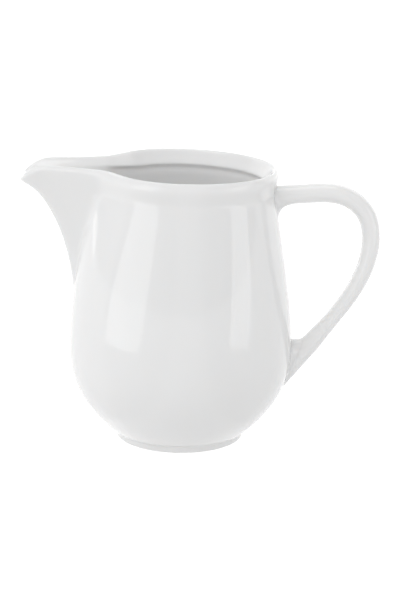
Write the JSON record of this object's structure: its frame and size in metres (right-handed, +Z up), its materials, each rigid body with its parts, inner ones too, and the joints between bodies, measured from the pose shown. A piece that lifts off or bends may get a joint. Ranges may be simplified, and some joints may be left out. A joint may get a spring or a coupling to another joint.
{
  "type": "porcelain milk jug",
  "caption": "Small white glazed porcelain milk jug with a pear-shaped body, drawn pouring spout, rolled lip and loop handle.",
  "frame": {"origin": "on the body's axis, in the plane of the foot ring's tread, which is the table", "axes": "+Z up along the body's axis, +X towards the handle, so the spout points to -X; XZ is the mirror plane"},
  "size_m": [0.1281, 0.08, 0.101],
  "materials": {
    "porcelain": "glossy clear glaze over white porcelain, with the foot ring's tread left bare and matt"
  },
  "bodies": {
    "root": {"jug": "porcelain"}
  },
  "joints": []
}
